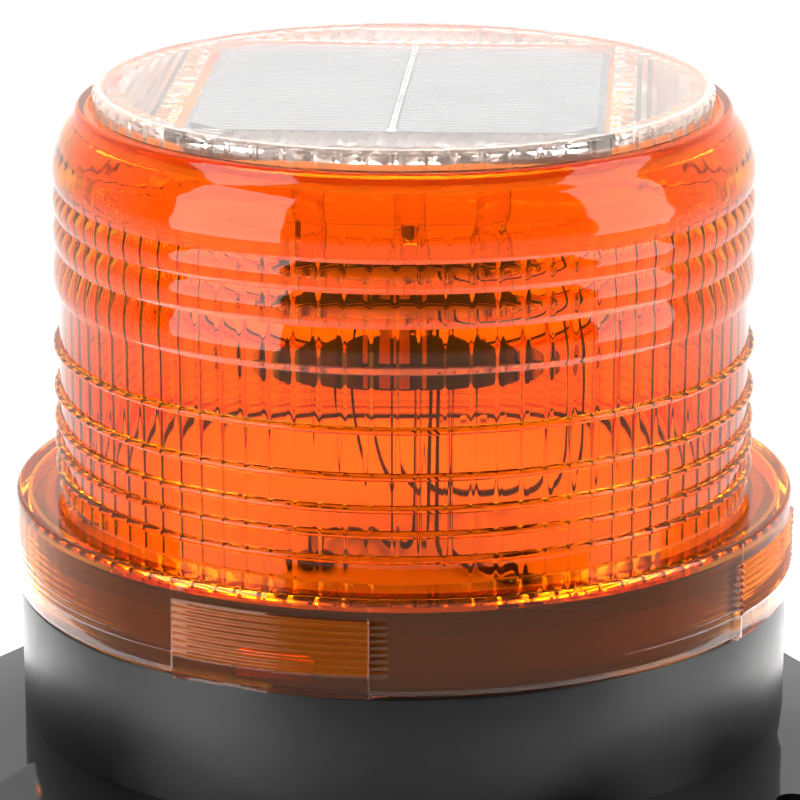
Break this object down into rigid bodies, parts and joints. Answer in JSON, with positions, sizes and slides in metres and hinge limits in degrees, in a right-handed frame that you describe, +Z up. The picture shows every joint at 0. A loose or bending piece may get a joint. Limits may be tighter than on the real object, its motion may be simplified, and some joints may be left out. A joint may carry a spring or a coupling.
{
  "type": "barricade warning light",
  "caption": "Solar warning light: clear cap with solar panel, ribbed amber twist-off lens, round black base and flat mounting plate with screw ears.",
  "frame": {"origin": "on the lens axis at the underside of the mounting plate", "axes": "+Z up along the lens axis, -Y towards the front, X and Y along the sides of the solar panel"},
  "size_m": [0.1626, 0.1513, 0.1015],
  "materials": {
    "amber_plastic": "clear amber moulded plastic, glossy",
    "clear_plastic": "clear moulded plastic, glossy",
    "gloss_black": "high gloss black",
    "satin_black": "satin moulded black",
    "seal_rubber": "soft black rubber",
    "white_plastic": "white moulded plastic",
    "panel_black": "black panel backing",
    "solar_cell": "dark silicon cell with fine fingers",
    "plated_contact": "tinned metal",
    "screw_steel": "zinc plated steel",
    "switch_steel": "nickel plated steel",
    "circuit_board": "green solder mask",
    "component_black": "black moulding compound",
    "capacitor_can": "aluminium can",
    "battery_wrap": "printed-free shrink wrap",
    "led_face": "phosphor-coated LED package",
    "wire_black": "black wire insulation",
    "wire_red": "red wire insulation"
  },
  "bodies": {
    "base": {"mounting_plate": "gloss_black", "base_housing": "satin_black", "base_gasket": "seal_rubber", "lens_seal": "seal_rubber", "plate_screw_1": "screw_steel", "plate_screw_2": "screw_steel", "plate_screw_3": "screw_steel", "deck_plate": "white_plastic", "deck_screw_1": "screw_steel", "deck_screw_2": "screw_steel", "deck_screw_3": "screw_steel", "wire_grommet_1": "seal_rubber", "wire_grommet_2": "seal_rubber", "control_board": "circuit_board", "board_screw_1": "screw_steel", "board_screw_2": "screw_steel", "controller_chip": "component_black", "filter_capacitor": "capacitor_can", "charge_inductor": "component_black", "connector_1": "white_plastic", "connector_2": "white_plastic", "battery_tray": "satin_black", "battery_cell_1": "battery_wrap", "battery_cell_2": "battery_wrap", "battery_spring_1": "plated_contact", "battery_spring_2": "plated_contact", "contact_bridge": "plated_contact", "contact_tab_1": "plated_contact", "contact_tab_2": "plated_contact", "switch_body": "switch_steel", "switch_screw_1": "screw_steel", "switch_screw_2": "screw_steel", "switch_lead": "wire_red", "battery_lead_red": "wire_red", "battery_lead_black": "wire_black", "led_lead_left": "wire_black", "led_lead_right": "wire_black"},
    "head": {"amber_lens": "amber_plastic", "clear_top_cap": "clear_plastic", "panel_backing": "panel_black", "solar_cell_left": "solar_cell", "solar_cell_right": "solar_cell", "panel_bus_strip": "plated_contact", "panel_spacer_1": "clear_plastic", "panel_spacer_2": "clear_plastic", "panel_spacer_3": "clear_plastic", "drum_screw_1": "screw_steel", "drum_screw_2": "screw_steel", "drum_screw_3": "screw_steel", "led_drum": "satin_black", "led_driver_board": "circuit_board", "led_strip": "circuit_board", "led_1": "led_face", "led_2": "led_face", "led_3": "led_face", "led_4": "led_face", "led_5": "led_face", "led_6": "led_face", "panel_lead": "wire_black"},
    "knob": {"switch_knob": "white_plastic"}
  },
  "joints": [
    {"name": "lens_twist", "type": "hinge", "parent": "base", "child": "head", "pos_m": [0, 0, 0.03], "axis": [0, 0, 1], "range_deg": [0, 25]},
    {"name": "switch_slide", "type": "slide", "parent": "base", "child": "knob", "axis": [1, 0, 0], "range_m": [0, 0.004]}
  ]
}
